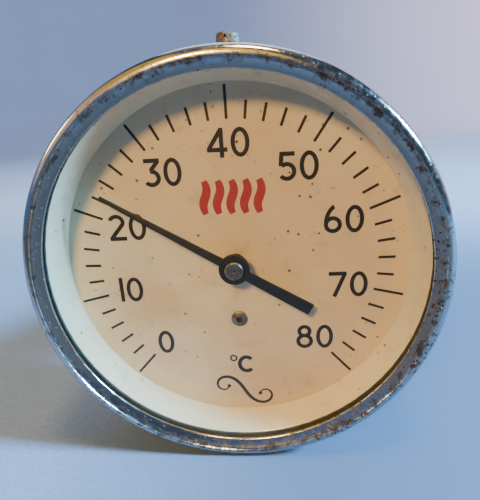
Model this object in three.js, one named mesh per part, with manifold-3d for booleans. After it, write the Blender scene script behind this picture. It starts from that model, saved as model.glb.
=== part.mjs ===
// Dial thermometer with a rear stem: a bimetal helix in the stem turns a pointer over a round scale.
// Units are millimetres. Each piece is drawn in the instrument's own frame, where +Z is the axis and
// points out of the dial, +Y is up the dial and z = 0 is the seat that meets the pocket. The exported
// group turns that frame so that +Z is up and the dial faces -Y.

import * as THREE from "three";
import { mergeVertices } from "three/addons/utils/BufferGeometryUtils.js";
import Module from "manifold-3d";

const wasm = await Module();
wasm.setup();

// ---------------------------------------------------------------- driving dimensions

const windowRadius = 51; // clear opening inside the bezel's lip
const rimWidth = 5.5; // from that opening to the outside of the bezel's bead
const chapterLean = 2; // how much less of the scale plate shows than the opening's radius
const caseDepth = 27; // back of the case to its front edge
const dialRecess = 8.1; // scale plate up to the seat of the glass gasket
const stemLength = 100; // from the seat to the tip
const stemRadius = 5;
const stemWall = 0.7;
const neckWall = 1.1; // of the stem head, round the tube, where the gland nut turns on it
const nutPlay = 4; // how far the gland nut can slide along the neck

const seatGap = 0.1; // between faces that rest on each other
const slipGap = 0.2; // round a piece that slides into another
const runningGap = 0.1; // round a shaft in its bearing
const nutGap = 0.3; // round the neck in the gland nut
const shankGap = 0.15; // round a screw's shank in its hole

const bezelWall = 0.8;
const beadRadius = 2.6; // section of the bezel's rounded edge
const beadStandOff = 0.3; // how far the bead stands out of the skirt
const beadRise = 1.4; // how far the bead stands above the lip
const skirtDepth = 14; // from the top of the bead to the back edge of the skirt

const caseWall = 0.9;
const caseCorner = 5; // outside radius between the case's side and back
const chapterWall = 0.6;
const chapterFoot = 0.35; // air between the chapter ring and the scale plate
const chapterFlare = 0.6; // how far its top stands back from the bezel's lip
const gasketThickness = 0.7;
const glassThickness = 2;
const dialThickness = 1;
const dialHole = 3;

const dialScrewDrop = 17.4; // below the spindle
const dialScrew = { headRadius: 2.4, headHeight: 0.9, shankRadius: 1.2, length: 3.4, slot: 0.6 };
const bezelScrew = { headRadius: 2.9, headHeight: 3.1, shankRadius: 1.75, slot: 0.9 };
const bezelScrewTurn = -2.2; // degrees round from twelve o'clock, clockwise being negative
const bezelBush = { wall: 0.7, clearance: 0.3, length: 1.6 };
const plateScrew = { headRadius: 2.6, headHeight: 0.9, shankRadius: 1.3, length: 6 };

const carrierRadius = 24;
const carrierThickness = 1.6;
const pillarCount = 3;
const pillarCircle = 13.5;
const pillarRadius = 3;
const flangeRadius = 18;
const flangeThickness = 3;
const spigotRadius = 5.5;
const spigotHeight = 7;
const shankRadius = 9; // threaded part of the stem head, through the case
const washerRadius = 15;
const washerThickness = 1;
const lockNut = { acrossFlats: 27, thickness: 6 };

const collarWall = 1.9; // round the end of the neck
const collarHeight = 4;
const collarLip = 1.2; // the part that reaches in under the neck
const gland = { acrossFlats: 24, hexHeight: 9, undercut: 1.5, threadLength: 14 };
const thread = { radius: 10.48, depth: 1.16, pitch: 1.814, rowsPerPitch: 4 };
const tubeSocket = 8; // how deep the tube sits in the neck

const pointerAngle = 58.6; // degrees anticlockwise of twelve o'clock, at the stored reading
const pointer = {
  tipClearance: 7.7, // from the tip to the chapter ring
  tail: 24.4,
  tipWidth: 1,
  rootWidth: 2.4,
  tailRootWidth: 2.7,
  tailWidth: 3.4,
  thickness: 0.6,
  height: 4.5, // underside of the blade, above the scale plate
  discRadius: 4.3,
  discHeight: 1.1,
};
const boss = { radius: 2.6, rise: 1.2, barrelRadius: 1.9, barrelLength: 2.4, chamfer: 0.35, dimple: 0.45 };

const spindleRadius = 1;
const bearingRadius = 3;
const bearingLength = 6;
const thrustCollar = { radius: 2.4, thickness: 1.5 };
const helix = { clearance: 0.55, thickness: 0.4, width: 2.4, pitch: 3.6, turns: 12, stepsPerTurn: 12 };
const helixHub = { clearance: 0.8, thickness: 3 };
const anchorLength = 5;
const lowerBearingRadius = 2.2;
const endPlug = { thickness: 2, spigot: 1.6 };

const bigSides = 64;
const midSides = 32;
const smallSides = 16;
const threadSides = 28;

// ---------------------------------------------------------------- places worked out from them

const bezelRadius = windowRadius + rimWidth;
const dialShownRadius = windowRadius - chapterLean;
const skirtOuter = bezelRadius - beadStandOff;
const skirtInner = skirtOuter - bezelWall;
const caseOuter = skirtInner - slipGap;
const caseInner = caseOuter - caseWall;
const neckRadius = stemRadius + seatGap + neckWall;
const collarRadius = neckRadius + seatGap + collarWall;

const neckTop = collarHeight + seatGap + gland.threadLength + gland.undercut + gland.hexHeight + nutPlay;
const caseBack = neckTop + lockNut.thickness + washerThickness + 2 * seatGap;
const caseFront = caseBack + caseDepth;
const flangeBase = caseBack + caseWall + seatGap;
const flangeTop = flangeBase + flangeThickness;
const dialFace = caseFront + seatGap + chapterWall - dialRecess;
const dialBack = dialFace - dialThickness;
const carrierTop = dialBack - seatGap;
const carrierBase = carrierTop - carrierThickness;
const spigotTop = flangeTop + spigotHeight;

const gasketBase = dialFace + dialRecess + seatGap;
const glassBase = gasketBase + gasketThickness + seatGap;
const lipUnder = glassBase + glassThickness + seatGap;
const lipTop = lipUnder + bezelWall;
const beadTop = lipTop + beadRise;
const beadCentre = beadTop - beadRadius;
const chapterTop = windowRadius + chapterFlare;

const bushBore = bezelScrew.shankRadius + shankGap;
const bushRadius = bushBore + bezelBush.wall;
const bezelScrewPlace = dialFace + dialRecess - chapterWall - bezelBush.clearance - bushRadius;

const boreRadius = stemRadius - stemWall; // inside of the stem tube
const helixRadius = boreRadius - helix.clearance - helix.thickness / 2;
const tubeTip = -(stemLength - endPlug.thickness);
const anchorBase = tubeTip + endPlug.spigot + 4 * seatGap;
const anchorTop = anchorBase + anchorLength;
const helixBase = anchorTop + seatGap;
const helixTop = helixBase + helix.pitch * helix.turns + helix.width;
const bladeBase = dialFace + pointer.height;
const discTop = bladeBase + pointer.discHeight;
const bossTop = discTop + boss.rise;

// ---------------------------------------------------------------- finishes

const paint = (color, roughness, metalness) => new THREE.MeshStandardMaterial({ color, roughness, metalness });
const finishes = {
  chrome: paint(0xb9bcc0, 0.18, 1),
  blackEnamel: paint(0x17181a, 0.35, 0.1),
  creamEnamel: paint(0xe9e2cf, 0.3, 0),
  scaleEnamel: paint(0xd9c7a6, 0.45, 0),
  glass: new THREE.MeshStandardMaterial({ color: 0xdfe8e6, roughness: 0.05, transparent: true, opacity: 0.3 }),
  rubber: paint(0x3a403c, 0.8, 0),
  pointerBlack: paint(0x141516, 0.45, 0),
  steel: paint(0x8a8781, 0.35, 1),
  brass: paint(0xb08d4a, 0.35, 1),
  fibre: paint(0x6b3b2a, 0.85, 0),
  bimetal: paint(0xa79d8c, 0.4, 1),
};

// ---------------------------------------------------------------- solids

const instrument = new THREE.Group();

// A closed three.js geometry as a solid that can be joined and cut.
function solid(geometry) {
  const bare = geometry.index ? geometry.toNonIndexed() : geometry.clone();
  for (const name of Object.keys(bare.attributes)) if (name !== "position") bare.deleteAttribute(name);
  const merged = mergeVertices(bare, 1e-4);
  const shape = {
    numProp: 3,
    vertProperties: new Float32Array(merged.attributes.position.array),
    triVerts: new Uint32Array(merged.index.array),
  };
  const made = new wasm.Manifold(new wasm.Mesh(shape));
  if (made.volume() > 0) return made;
  for (let i = 0; i < shape.triVerts.length; i += 3) {
    const first = shape.triVerts[i];
    shape.triVerts[i] = shape.triVerts[i + 1];
    shape.triVerts[i + 1] = first;
  }
  return new wasm.Manifold(new wasm.Mesh(shape));
}

function geometryOf(made) {
  const mesh = made.getMesh();
  const positions = new Float32Array(mesh.numVert * 3);
  for (let i = 0; i < mesh.numVert; i++) {
    positions.set(mesh.vertProperties.subarray(i * mesh.numProp, i * mesh.numProp + 3), i * 3);
  }
  return new THREE.BufferGeometry()
    .setAttribute("position", new THREE.BufferAttribute(positions, 3))
    .setIndex(new THREE.BufferAttribute(new Uint32Array(mesh.triVerts), 1));
}

// A solid of revolution about the instrument's axis. Points are [radius, z] round the outline.
function turned(points, sides) {
  const outline = points.map(([radius, z]) => new THREE.Vector2(radius, z));
  outline.push(outline[0].clone());
  return solid(new THREE.LatheGeometry(outline, sides).rotateX(Math.PI / 2));
}

// A plain ring, or a disc where inner is 0.
function ring(outer, inner, base, top, sides) {
  return turned([[inner, base], [outer, base], [outer, top], [inner, top]], sides);
}

// Points [radius, z] on an arc in the half plane, from one angle to another, in degrees.
function arc(centreRadius, centreZ, radius, from, to, steps) {
  return Array.from({ length: steps + 1 }, (_, i) => {
    const angle = THREE.MathUtils.degToRad(from + ((to - from) * i) / steps);
    return [centreRadius + radius * Math.cos(angle), centreZ + radius * Math.sin(angle)];
  });
}

function extruded(shape, base, height) {
  const settings = { depth: height, bevelEnabled: false, curveSegments: smallSides };
  return solid(new THREE.ExtrudeGeometry(shape, settings).translate(0, 0, base));
}

// A hexagonal prism whose corners are turned off at both ends.
function hexagon(acrossFlats, base, top) {
  const corner = acrossFlats / 2 / Math.cos(Math.PI / 6);
  const chamfer = corner - acrossFlats / 2;
  const outline = new THREE.Shape();
  for (let i = 0; i < 6; i++) {
    const angle = (i * Math.PI) / 3;
    const [x, y] = [corner * Math.cos(angle), corner * Math.sin(angle)];
    if (i === 0) outline.moveTo(x, y);
    else outline.lineTo(x, y);
  }
  const fall = chamfer * Math.tan(Math.PI / 6);
  const cone = turned(
    [
      [0, base],
      [acrossFlats / 2, base],
      [corner, base + fall],
      [corner, top - fall],
      [acrossFlats / 2, top],
      [0, top],
    ],
    midSides,
  );
  return extruded(outline, base, top - base).intersect(cone);
}

function add(name, material, made) {
  const mesh = new THREE.Mesh(geometryOf(made), material);
  mesh.name = name;
  instrument.add(mesh);
  return mesh;
}

// A slotted screw along the instrument's axis, with the underside of its head at z = 0.
function slottedScrew({ headRadius, headHeight, shankRadius: shank, slot }, length, crown) {
  const body = turned(
    [
      [0, -length],
      [shank, -length],
      [shank, 0],
      [headRadius, 0],
      ...arc(headRadius - crown, headHeight - crown, crown, 0, 90, 4),
      [0, headHeight],
    ],
    smallSides,
  );
  const cutter = new THREE.BoxGeometry(headRadius * 3, slot, headHeight).translate(0, 0, headHeight);
  return body.subtract(solid(cutter));
}

// ---------------------------------------------------------------- case, bezel and glass

const screwAngle = (bezelScrewTurn * Math.PI) / 180;

// A place that far from the axis, in line with the bezel's screw.
function towardsScrew(distance) {
  return [-distance * Math.sin(screwAngle), distance * Math.cos(screwAngle), bezelScrewPlace];
}

// The bezel's clearance hole and the case's hole for the screw near twelve o'clock.
function radialHole(radius) {
  const length = bezelRadius * 0.4;
  const bore = new THREE.CylinderGeometry(radius, radius, length, smallSides);
  return solid(bore.translate(0, bezelRadius, bezelScrewPlace).rotateZ(screwAngle));
}

function bezelRing() {
  const beadX = bezelRadius - beadRadius;
  const underBead = beadRadius - bezelWall;
  const section = [
    [windowRadius, lipUnder],
    [windowRadius, lipTop],
    [windowRadius + 0.25 * (beadX - windowRadius), lipTop + 0.12 * beadRise],
    [windowRadius + 0.6 * (beadX - windowRadius), lipTop + 0.62 * beadRise],
    ...arc(beadX, beadCentre, beadRadius, 100, 0, 6),
    [skirtOuter, beadCentre - beadRadius * 0.8],
    [skirtOuter, beadTop - skirtDepth],
    [skirtInner, beadTop - skirtDepth],
    [skirtInner, beadCentre],
    ...arc(skirtInner - underBead, beadCentre, underBead, 45, 90, 1),
    [windowRadius + 0.45 * (beadX - windowRadius), lipUnder + 0.1 * beadRise],
  ];
  return turned(section, bigSides).subtract(radialHole(bushBore));
}

function caseShell() {
  const inCorner = caseCorner - caseWall;
  const hole = shankRadius + slipGap;
  const section = [
    [hole, caseBack],
    ...arc(caseOuter - caseCorner, caseBack + caseCorner, caseCorner, -90, 0, 4),
    [caseOuter, caseFront],
    [caseInner, caseFront],
    ...arc(caseInner - inCorner, caseBack + caseCorner, inCorner, 0, -90, 3),
    [hole, caseBack + caseWall],
  ];
  return turned(section, bigSides).subtract(radialHole(bushBore));
}

function chapterRing() {
  const foot = dialFace + chapterFoot;
  const shelf = dialFace + dialRecess;
  const flangeOuter = caseOuter - seatGap;
  return turned(
    [
      [dialShownRadius, foot],
      [dialShownRadius + chapterWall, foot],
      [chapterTop + chapterWall, shelf - chapterWall],
      [flangeOuter, shelf - chapterWall],
      [flangeOuter, shelf],
      [chapterTop, shelf],
    ],
    bigSides,
  );
}

function caseGroup() {
  const glassRadius = caseOuter - chapterFlare;
  const gasket = ring(glassRadius, chapterTop + seatGap, gasketBase, gasketBase + gasketThickness, bigSides);
  const glass = new THREE.CylinderGeometry(glassRadius, glassRadius, glassThickness, bigSides);
  glass.rotateX(Math.PI / 2).translate(0, 0, glassBase + glassThickness / 2);
  add("case_shell", finishes.blackEnamel, caseShell());
  add("bezel_ring", finishes.chrome, bezelRing());
  add("chapter_ring", finishes.creamEnamel, chapterRing());
  add("glass_gasket", finishes.rubber, gasket);
  add("window_glass", finishes.glass, solid(glass));
}

// The screw that locks the bezel, and the threaded bush inside the case that takes it.
function bezelFastening() {
  const bushTop = caseInner - bezelBush.clearance;
  const headSeat = skirtOuter + seatGap;
  const screwEnd = bushTop - bezelBush.length + seatGap;
  const screw = add("bezel_screw", finishes.steel, slottedScrew(bezelScrew, headSeat - screwEnd, 1.1));
  screw.rotation.set(-Math.PI / 2, 0, screwAngle, "ZYX");
  screw.position.set(...towardsScrew(headSeat));
  const threaded = ring(bushRadius, bushBore, 0, bezelBush.length, smallSides);
  const bush = add("bezel_screw_bush", finishes.brass, threaded);
  bush.rotation.set(Math.PI / 2, 0, screwAngle, "ZYX");
  bush.position.set(...towardsScrew(bushTop));
}

// ---------------------------------------------------------------- scale plate and its carrier

function pillarPlaces() {
  return Array.from({ length: pillarCount }, (_, i) => {
    const angle = Math.PI / 2 + (2 * Math.PI * i) / pillarCount;
    return [pillarCircle * Math.cos(angle), pillarCircle * Math.sin(angle)];
  });
}

function axialHole(radius, x, y, base, top) {
  const bore = new THREE.CylinderGeometry(radius, radius, top - base, smallSides);
  return solid(bore.rotateX(Math.PI / 2).translate(x, y, (base + top) / 2));
}

function scaleGroup() {
  const screwHole = dialScrew.shankRadius + shankGap;
  const plateHole = plateScrew.shankRadius + shankGap;
  const cutScrew = axialHole(screwHole, 0, -dialScrewDrop, carrierBase - 1, dialFace + 1);
  const dial = ring(caseInner - slipGap, dialHole, dialBack, dialFace, bigSides);
  add("dial_plate", finishes.scaleEnamel, dial.subtract(cutScrew));

  const sunk = carrierTop - seatGap - plateScrew.headHeight; // underside of the flush screw heads
  let carrier = ring(carrierRadius, dialHole, carrierBase, carrierTop, midSides).subtract(cutScrew);
  pillarPlaces().forEach(([x, y], i) => {
    carrier = carrier
      .subtract(axialHole(plateHole, x, y, carrierBase - 1, carrierTop + 1))
      .subtract(axialHole(plateScrew.headRadius + shankGap, x, y, sunk - seatGap, carrierTop + 1));
    const top = carrierBase - seatGap;
    const pillar = ring(pillarRadius, 0, flangeTop + seatGap, top, smallSides);
    const tapped = axialHole(plateHole, 0, 0, top - plateScrew.length, top + 1);
    add(`pillar_${i + 1}`, finishes.brass, pillar.subtract(tapped)).position.set(x, y, 0);
    const length = plateScrew.length - 1;
    const head = slottedScrew({ ...plateScrew, slot: 0.6 }, length, 0.2);
    add(`plate_screw_${i + 1}`, finishes.steel, head).position.set(x, y, sunk);
  });
  add("carrier_plate", finishes.brass, carrier);

  const screw = add("dial_screw", finishes.steel, slottedScrew(dialScrew, dialScrew.length, 0.45));
  screw.rotation.z = THREE.MathUtils.degToRad(-40);
  screw.position.set(0, -dialScrewDrop, dialFace + seatGap);
}

// ---------------------------------------------------------------- pointer and spindle

function pointerOutline() {
  const blade = new THREE.Shape();
  const length = dialShownRadius - pointer.tipClearance;
  const overlap = pointer.discRadius * 0.6; // the arms start inside the disc
  blade.moveTo(pointer.tipWidth / 2, length);
  blade.lineTo(-pointer.tipWidth / 2, length);
  blade.lineTo(-pointer.rootWidth / 2, overlap);
  blade.lineTo(-pointer.tailRootWidth / 2, -overlap);
  blade.lineTo(-pointer.tailWidth / 2, -pointer.tail);
  blade.lineTo(pointer.tailWidth / 2, -pointer.tail);
  blade.lineTo(pointer.tailRootWidth / 2, -overlap);
  blade.lineTo(pointer.rootWidth / 2, overlap);
  return blade;
}

function pointerGroup() {
  const bossHole = boss.barrelRadius + seatGap;
  const disc = ring(pointer.discRadius, 0, bladeBase, discTop, midSides);
  const bore = axialHole(bossHole, 0, 0, bladeBase - 1, discTop + 1);
  const blade = extruded(pointerOutline(), bladeBase, pointer.thickness).add(disc).subtract(bore);
  const turn = THREE.MathUtils.degToRad(pointerAngle);
  add("pointer_blade", finishes.pointerBlack, blade).rotation.z = turn;

  const spindleTop = bossTop - boss.dimple;
  const bossBore = spindleRadius + runningGap;
  const button = turned(
    [
      [0, bossTop - boss.dimple / 2],
      [boss.dimple, bossTop],
      [boss.radius - boss.chamfer, bossTop],
      [boss.radius, bossTop - boss.chamfer],
      [boss.radius, discTop + seatGap],
      [boss.barrelRadius, discTop + seatGap],
      [boss.barrelRadius, bladeBase - boss.barrelLength],
      [bossBore, bladeBase - boss.barrelLength],
      [bossBore, spindleTop - seatGap],
      [0, spindleTop - seatGap],
    ],
    smallSides,
  );
  add("pointer_boss", finishes.steel, button);

  const spindleEnd = anchorBase + anchorLength * 0.2;
  const top = spindleTop - 2 * seatGap;
  add("spindle", finishes.steel, ring(spindleRadius, 0, spindleEnd, top, smallSides));
  const collarBase = spigotTop + slipGap;
  const onSpindle = spindleRadius + seatGap / 2;
  const collar = ring(thrustCollar.radius, onSpindle, collarBase, collarBase + thrustCollar.thickness, smallSides);
  add("thrust_collar", finishes.brass, collar);
  const hubBase = helixTop + seatGap;
  const hub = ring(boreRadius - helixHub.clearance, onSpindle, hubBase, hubBase + helixHub.thickness, smallSides);
  add("helix_hub", finishes.brass, hub);
}

// ---------------------------------------------------------------- stem head and union

function stemHead() {
  const tubeSeat = collarLip + seatGap + tubeSocket;
  return turned(
    [
      [stemRadius + seatGap, collarLip + seatGap],
      [neckRadius, collarLip + seatGap],
      [neckRadius, neckTop - 1],
      [shankRadius, neckTop],
      [shankRadius, flangeBase],
      [flangeRadius, flangeBase],
      [flangeRadius, flangeTop],
      [spigotRadius, flangeTop],
      [spigotRadius, spigotTop],
      [bearingRadius + seatGap, spigotTop],
      [bearingRadius + seatGap, spigotTop - bearingLength - seatGap],
      [bearingRadius - 0.5, spigotTop - bearingLength - seatGap],
      [bearingRadius - 0.5, tubeSeat],
      [stemRadius + seatGap, tubeSeat],
    ],
    midSides,
  );
}

// A rod with a helical ridge: a finely ruled cylinder whose rings are pulled in between the crests.
function threadedRod(base, length) {
  const rows = Math.round((length / thread.pitch) * thread.rowsPerPitch);
  const rod = new THREE.CylinderGeometry(thread.radius, thread.radius, length, threadSides, rows);
  rod.rotateX(Math.PI / 2).translate(0, 0, base + length / 2);
  const place = rod.attributes.position;
  for (let i = 0; i < place.count; i++) {
    const [x, y, z] = [place.getX(i), place.getY(i), place.getZ(i)];
    const radius = Math.hypot(x, y);
    if (radius < thread.radius / 2) continue; // the middle of an end cap
    const along = z / thread.pitch - Math.atan2(y, x) / (2 * Math.PI);
    const fromCrest = Math.abs(along - Math.round(along)) * 2;
    const end = z - base < 0.01 || base + length - z < 0.01;
    const pulled = (thread.radius - thread.depth * (end ? 1 : fromCrest)) / radius;
    place.setXYZ(i, x * pulled, y * pulled, z);
  }
  return solid(rod);
}

function glandNut() {
  const base = collarHeight + seatGap;
  const threadTop = base + gland.threadLength;
  const hexBase = threadTop + gland.undercut;
  const relief = ring(thread.radius - thread.depth, 0, threadTop - 0.5, hexBase + 0.5, threadSides);
  return threadedRod(base, gland.threadLength)
    .add(relief)
    .add(hexagon(gland.acrossFlats, hexBase, hexBase + gland.hexHeight))
    .subtract(ring(neckRadius + nutGap, 0, base - 1, hexBase + gland.hexHeight + 1, midSides));
}

function unionGroup() {
  const nutTop = neckTop + lockNut.thickness;
  const thread = shankRadius + shankGap;
  const nut = hexagon(lockNut.acrossFlats, neckTop, nutTop);
  const washerBase = nutTop + seatGap;
  add("stem_head", finishes.brass, stemHead());
  add("case_lock_nut", finishes.brass, nut.subtract(ring(thread, 0, neckTop - 1, nutTop + 1, midSides)));
  add("case_washer", finishes.fibre, ring(washerRadius, thread, washerBase, washerBase + washerThickness, midSides));
  add("gland_nut", finishes.brass, glandNut());
  const collar = turned(
    [
      [stemRadius + seatGap, 0],
      [collarRadius, 0],
      [collarRadius, collarHeight],
      [neckRadius + seatGap, collarHeight],
      [neckRadius + seatGap, collarLip],
      [stemRadius + seatGap, collarLip],
    ],
    midSides,
  );
  add("seat_collar", finishes.brass, collar);
}

// ---------------------------------------------------------------- stem and its bimetal

// A flat strip wound into a helix by bending a ruled box.
function woundStrip() {
  const steps = helix.turns * helix.stepsPerTurn;
  const strip = new THREE.BoxGeometry(1, helix.width, helix.thickness, steps, 1, 1);
  const place = strip.attributes.position;
  for (let i = 0; i < place.count; i++) {
    const share = place.getX(i) + 0.5;
    const angle = share * helix.turns * 2 * Math.PI;
    const radius = helixRadius + place.getZ(i);
    const rise = helixBase + helix.width / 2 + share * helix.turns * helix.pitch + place.getY(i);
    place.setXYZ(i, radius * Math.cos(angle), radius * Math.sin(angle), rise);
  }
  return solid(strip);
}

function stemGroup() {
  const socketTop = collarLip + tubeSocket;
  const inTube = boreRadius - seatGap;
  const bearingBore = spindleRadius + runningGap;
  const upperBase = spigotTop - bearingLength;
  const plug = turned(
    [
      [0, -stemLength],
      [stemRadius - 1, -stemLength],
      [stemRadius, 1 - stemLength],
      [stemRadius, tubeTip - seatGap],
      [inTube, tubeTip - seatGap],
      [inTube, tubeTip + endPlug.spigot],
      [0, tubeTip + endPlug.spigot],
    ],
    midSides,
  );
  const anchor = ring(inTube, lowerBearingRadius + seatGap, anchorBase, anchorTop, smallSides);
  add("stem_tube", finishes.brass, ring(stemRadius, boreRadius, tubeTip, socketTop, midSides));
  add("stem_end_plug", finishes.brass, plug);
  add("helix_anchor", finishes.brass, anchor);
  add("lower_bearing", finishes.brass, ring(lowerBearingRadius, bearingBore, anchorBase, anchorTop, smallSides));
  add("upper_bearing", finishes.brass, ring(bearingRadius, bearingBore, upperBase, spigotTop, smallSides));
  add("bimetal_helix", finishes.bimetal, woundStrip());
}

caseGroup();
bezelFastening();
scaleGroup();
pointerGroup();
unionGroup();
stemGroup();

// The dial faces -Y with twelve o'clock up, and the seat's centre is the part's origin.
instrument.rotation.x = Math.PI / 2;

const part = new THREE.Group();
part.add(instrument);
export default part;
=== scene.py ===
import math

import bmesh
import bpy
from mathutils import Euler, Matrix, Vector


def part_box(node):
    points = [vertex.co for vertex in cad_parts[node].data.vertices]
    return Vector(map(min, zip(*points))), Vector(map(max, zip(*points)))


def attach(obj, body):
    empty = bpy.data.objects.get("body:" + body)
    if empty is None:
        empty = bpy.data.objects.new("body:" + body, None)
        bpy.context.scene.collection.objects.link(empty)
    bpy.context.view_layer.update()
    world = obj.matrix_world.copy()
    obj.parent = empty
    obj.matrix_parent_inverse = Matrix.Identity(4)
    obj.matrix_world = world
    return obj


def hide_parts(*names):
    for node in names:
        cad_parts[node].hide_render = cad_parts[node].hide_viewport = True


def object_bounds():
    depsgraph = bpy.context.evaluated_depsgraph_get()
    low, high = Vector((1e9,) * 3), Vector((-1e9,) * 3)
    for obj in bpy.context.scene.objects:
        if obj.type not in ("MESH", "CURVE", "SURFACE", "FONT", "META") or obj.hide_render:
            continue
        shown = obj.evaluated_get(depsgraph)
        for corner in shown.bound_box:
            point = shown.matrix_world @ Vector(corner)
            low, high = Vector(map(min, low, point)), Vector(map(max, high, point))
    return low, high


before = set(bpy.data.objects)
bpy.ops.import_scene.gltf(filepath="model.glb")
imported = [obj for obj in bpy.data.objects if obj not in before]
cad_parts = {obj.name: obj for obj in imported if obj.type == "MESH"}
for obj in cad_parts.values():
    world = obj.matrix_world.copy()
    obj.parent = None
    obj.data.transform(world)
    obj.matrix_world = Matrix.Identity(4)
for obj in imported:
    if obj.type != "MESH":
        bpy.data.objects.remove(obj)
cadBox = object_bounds()
print("frame loaded:", len(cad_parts), "nodes")

mm = 0.001
root, needle, nut = "instrument", "pointer", "gland"


# Heights run along the instrument's axis in millimetres, from the seat towards the reader.
def frontOf(node):
    return -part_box(node)[0][1] / mm


def rearOf(node):
    return -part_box(node)[1][1] / mm


def radiusOf(node):
    low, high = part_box(node)
    return (high[0] - low[0]) / 2 / mm


dialFace = frontOf("dial_plate")


# The camera stands round the middle of the scale: angles in degrees, distance in mm.
shot = {
    "lens": 31.9,
    "distance": 126.8,
    "azimuth": -5.5,
    "elevation": 17.95,
    "roll": -3.6,
    "aim": (1.3, 1.3, 3.6),  # from the middle of the scale, in mm
    "sensor": 36,
    "near": 0.01,
    "far": 20,
}


def placeCamera():
    bpy.ops.object.camera_add()
    camera = bpy.context.object
    camera.data.lens = shot["lens"]
    camera.data.sensor_width = shot["sensor"]
    camera.data.clip_start = shot["near"]
    camera.data.clip_end = shot["far"]
    turn = Euler((math.radians(90 - shot["elevation"]), 0, math.radians(-shot["azimuth"])))
    roll = Matrix.Rotation(math.radians(shot["roll"]), 4, "Z")
    aim = Vector((shot["aim"][0], shot["aim"][1] - dialFace, shot["aim"][2])) * mm
    turned = turn.to_matrix().to_4x4()
    back = turned @ Vector((0, 0, shot["distance"] * mm))
    camera.matrix_world = Matrix.Translation(aim + back) @ turned @ roll
    bpy.context.scene.camera = camera


placeCamera()
print("camera placed")


# A node's output that sums can be written with.
class Flow:
    def __init__(self, finish, socket):
        self.finish = finish
        self.socket = socket

    def maths(self, kind, first, second=0.0):
        return self.finish.node("ShaderNodeMath", {"operation": kind}, {0: first, 1: second})

    def __add__(self, other):
        return self.maths("ADD", self, other)

    def __radd__(self, other):
        return self.maths("ADD", other, self)

    def __sub__(self, other):
        return self.maths("SUBTRACT", self, other)

    def __rsub__(self, other):
        return self.maths("SUBTRACT", other, self)

    def __mul__(self, other):
        return self.maths("MULTIPLY", self, other)

    def __rmul__(self, other):
        return self.maths("MULTIPLY", other, self)

    def __truediv__(self, other):
        return self.maths("DIVIDE", self, other)

    def __pow__(self, other):
        return self.maths("POWER", self, other)

    def peak(self, other):
        return self.maths("MAXIMUM", self, other)

    def size(self):
        return self.maths("ABSOLUTE", self)

    def wave(self):
        return self.maths("SINE", self)


# A material while its nodes are being joined up. Sizes of noise and cells are in mm.
class Finish:
    def __init__(self, name):
        self.material = bpy.data.materials.new(name)
        self.material.use_nodes = True
        self.tree = self.material.node_tree
        self.tree.nodes.clear()
        self.place = self.node("ShaderNodeTexCoord", {}, {}, "Object")

    def node(self, kind, settings, sockets, output=0):
        made = self.tree.nodes.new(kind)
        for key, value in settings.items():
            setattr(made, key, value)
        for key, value in sockets.items():
            if isinstance(value, Flow):
                self.tree.links.new(value.socket, made.inputs[key])
            else:
                made.inputs[key].default_value = value
        return Flow(self, made.outputs[output])

    def stretched(self, scale):
        return self.node("ShaderNodeMapping", {}, {"Vector": self.place, "Scale": scale})

    def noise(self, size, detail, rough, place=None):
        where = place or self.place
        sockets = {"Vector": where, "Scale": 1 / (size * mm), "Detail": detail, "Roughness": rough}
        return self.node("ShaderNodeTexNoise", {}, sockets, "Fac")

    def cells(self, size, output="Distance"):
        sockets = {"Vector": self.place, "Scale": 1 / (size * mm)}
        return self.node("ShaderNodeTexVoronoi", {}, sockets, output)

    # Turns what runs from low to high into a smooth rise from bottom to top.
    def step(self, value, low, high, bottom=0.0, top=1.0):
        settings = {"interpolation_type": "SMOOTHSTEP", "clamp": True}
        sockets = {"Value": value, "From Min": low, "From Max": high}
        sockets.update({"To Min": bottom, "To Max": top})
        return self.node("ShaderNodeMapRange", settings, sockets)

    def coordinates(self):
        split = self.tree.nodes.new("ShaderNodeSeparateXYZ")
        self.tree.links.new(self.place.socket, split.inputs[0])
        return [Flow(self, output) for output in split.outputs]

    def fromAxis(self):
        across, _, up = self.coordinates()
        return (across * across + up * up) ** 0.5

    def mixed(self, share, first, second):
        settings = {"data_type": "RGBA", "clamp_factor": True}
        one, other = [c if isinstance(c, Flow) else (*c, 1) for c in (first, second)]
        return self.node("ShaderNodeMix", settings, {0: share, 6: one, 7: other}, 2)

    def bump(self, height, depth, strength=1.0):
        sockets = {"Height": height, "Distance": depth * mm, "Strength": strength}
        return self.node("ShaderNodeBump", {}, sockets)

    def done(self, shader):
        output = self.tree.nodes.new("ShaderNodeOutputMaterial")
        self.tree.links.new(shader.socket, output.inputs["Surface"])
        return self.material

    def surface(self, sockets):
        return self.done(self.node("ShaderNodeBsdfPrincipled", {}, sockets))


chromeLook = {
    "plate": (0.50, 0.49, 0.46),
    "dull": (0.25, 0.25, 0.25),
    "filmAndShade": (0.022, 0.021, 0.017),
    "pit": (0.012, 0.009, 0.007),
    "rust": (0.10, 0.048, 0.028),
    "groove": 53.4,  # radius of the groove inside the bead
}
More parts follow.
